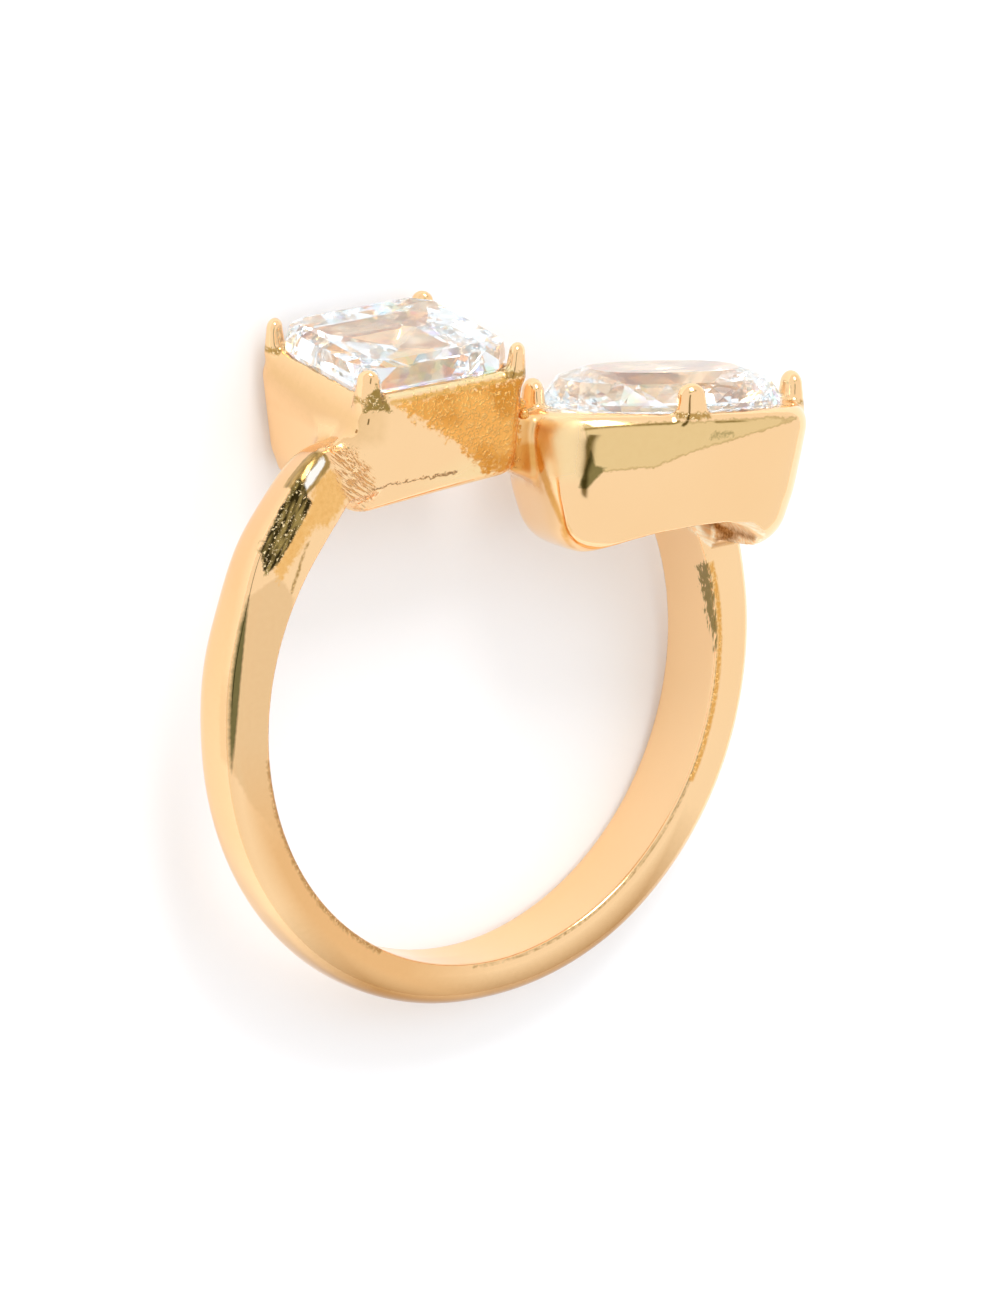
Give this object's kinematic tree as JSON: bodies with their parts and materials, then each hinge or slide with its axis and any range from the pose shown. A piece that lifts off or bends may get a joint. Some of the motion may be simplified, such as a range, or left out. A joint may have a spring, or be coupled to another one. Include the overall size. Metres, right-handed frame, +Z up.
{
  "type": "wrap ring",
  "caption": "Polished gold wrap ring: a slim round band whose ends carry deep cups side by side, one with a square clear stone and one with a long oval clear stone, held by claws.",
  "frame": {"origin": "middle of the ring's box, on the surface that it lies on", "axes": "+Z up, about 10 degrees from the loop's axis; +Y from the back of the band to the stones; +X from the square stone to the oval stone"},
  "size_m": [0.0232, 0.0238, 0.0077],
  "materials": {
    "gold_metal": "polished yellow gold plating",
    "clear_stone": "clear faceted stone"
  },
  "bodies": {
    "root": {"metal_ring": "gold_metal", "radiant_stone": "clear_stone", "oval_stone": "clear_stone"}
  },
  "joints": []
}
